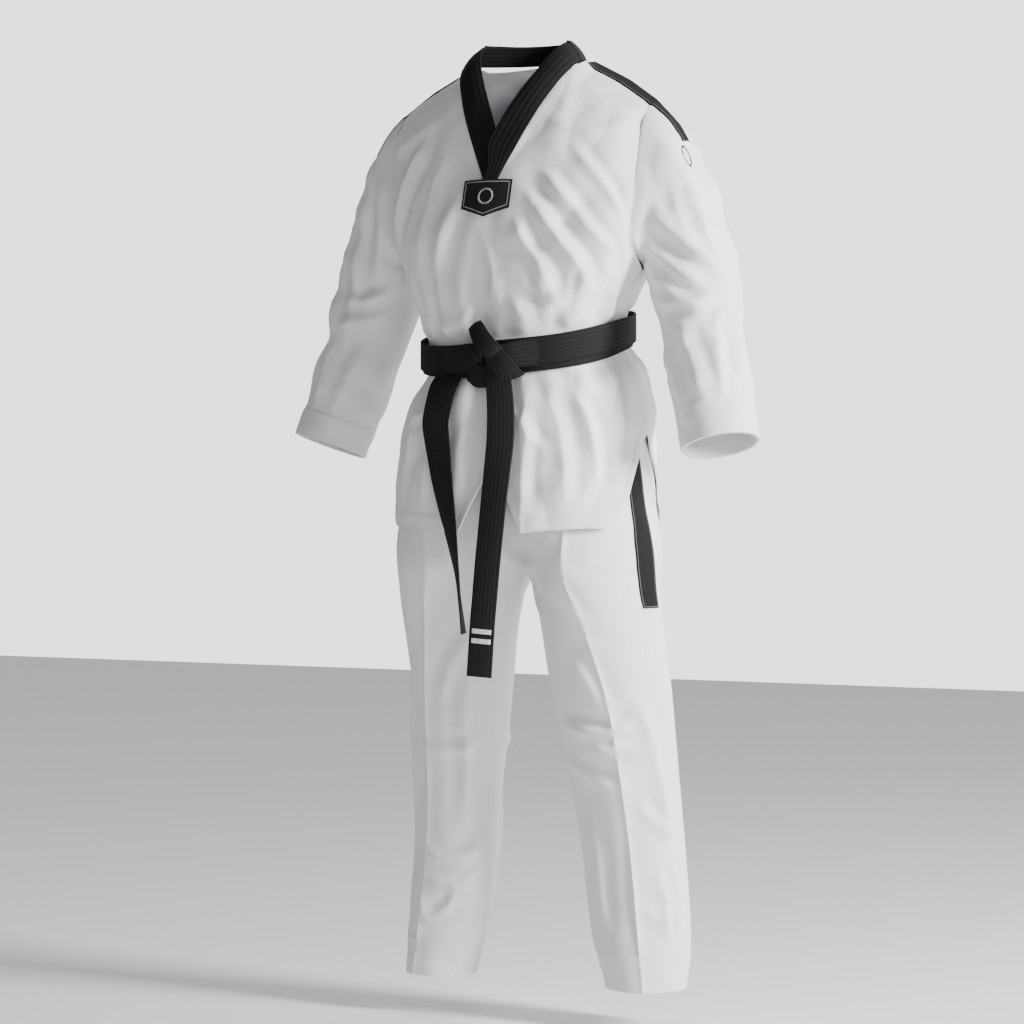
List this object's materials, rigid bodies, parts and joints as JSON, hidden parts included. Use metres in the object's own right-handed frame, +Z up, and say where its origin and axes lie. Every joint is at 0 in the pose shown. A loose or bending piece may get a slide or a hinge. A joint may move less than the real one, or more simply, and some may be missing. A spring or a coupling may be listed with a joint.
{
  "type": "martial arts uniform",
  "caption": "V-neck pullover training jacket with long sleeves and side vents, wide trousers, and a knotted black webbing belt, hung as if worn.",
  "frame": {"origin": "centre of the trouser waistband's top edge, where the wearer's waist holds the uniform up", "axes": "+Z up along the body, the wearer faces -Y, +X is the wearer's left side"},
  "size_m": [0.7904, 0.3206, 1.4592],
  "materials": {
    "white_cloth": "bleached cotton and polyester drill, matt, ribbed weave",
    "lining_cloth": "inside facings and gussets, plain weave, matt",
    "elastic": "woven elastic band",
    "black_trim": "black cotton collar band and tapes with rows of topstitching",
    "black_webbing": "black ribbed belt webbing, slight sheen",
    "patch_cloth": "embroidered black patch",
    "grey_thread": "grey embroidery thread, satin sheen",
    "white_thread": "white embroidery thread, satin sheen",
    "eyelet_metal": "nickel-plated eyelet"
  },
  "bodies": {
    "trousers": {"waistband": "white_cloth", "waistband_front": "white_cloth", "waist_elastic": "elastic", "drawcord_eyelets": "eyelet_metal", "crotch_gusset": "lining_cloth", "left_trouser_front_top": "white_cloth", "left_trouser_back_top": "white_cloth", "right_trouser_front_top": "white_cloth", "right_trouser_back_top": "white_cloth", "left_hip_tape": "black_trim", "right_hip_tape": "black_trim"},
    "left_leg": {"left_trouser_front_leg": "white_cloth", "left_trouser_back_leg": "white_cloth", "left_leg_cuff": "white_cloth", "left_leg_tape": "black_trim"},
    "right_leg": {"right_trouser_front_leg": "white_cloth", "right_trouser_back_leg": "white_cloth", "right_leg_cuff": "white_cloth", "right_leg_tape": "black_trim"},
    "jacket": {"jacket_front": "white_cloth", "jacket_back": "white_cloth", "back_yoke_facing": "lining_cloth", "front_hem_facing_left": "lining_cloth", "front_hem_facing_right": "lining_cloth", "back_hem_facing": "lining_cloth", "collar_left_lapel": "black_trim", "collar_right_lapel": "black_trim", "collar_back_band": "black_trim", "neck_patch": "patch_cloth", "neck_patch_emblem": "grey_thread", "left_shoulder_tape": "black_trim", "right_shoulder_tape": "black_trim", "belt_inner_wrap": "black_webbing", "belt_outer_wrap": "black_webbing", "belt_knot": "black_webbing"},
    "left_arm": {"left_sleeve": "white_cloth", "left_sleeve_gusset": "lining_cloth", "left_sleeve_cuff": "white_cloth", "left_sleeve_tape": "black_trim", "left_sleeve_badge": "patch_cloth"},
    "right_arm": {"right_sleeve": "white_cloth", "right_sleeve_gusset": "lining_cloth", "right_sleeve_cuff": "white_cloth", "right_sleeve_tape": "black_trim"},
    "belt_end_left": {"belt_tail_left": "black_webbing", "belt_rank_bars": "white_thread"},
    "belt_end_right": {"belt_tail_right": "black_webbing"}
  },
  "joints": [
    {"name": "jacket_lift", "type": "slide", "parent": "trousers", "child": "jacket", "axis": [0, 0, 1], "range_m": [0, 0.4]},
    {"name": "left_leg_spread", "type": "hinge", "parent": "trousers", "child": "left_leg", "pos_m": [0.15, 0, -0.346], "axis": [0, -1, 0], "range_deg": [0, 25]},
    {"name": "right_leg_spread", "type": "hinge", "parent": "trousers", "child": "right_leg", "pos_m": [-0.15, 0, -0.346], "axis": [0, 1, 0], "range_deg": [0, 25]},
    {"name": "left_sleeve_raise", "type": "hinge", "parent": "jacket", "child": "left_arm", "pos_m": [0.2155, 0.01, 0.357], "axis": [0, -1, 0], "range_deg": [0, 65]},
    {"name": "right_sleeve_raise", "type": "hinge", "parent": "jacket", "child": "right_arm", "pos_m": [-0.2155, 0.01, 0.357], "axis": [0, 1, 0], "range_deg": [0, 65]},
    {"name": "left_tail_swing", "type": "hinge", "parent": "jacket", "child": "belt_end_left", "pos_m": [0, -0.156, -0.06], "axis": [-1, 0, 0], "range_deg": [0, 75]},
    {"name": "right_tail_swing", "type": "hinge", "parent": "jacket", "child": "belt_end_right", "pos_m": [0, -0.156, -0.06], "axis": [-1, 0, 0], "range_deg": [0, 75]}
  ]
}
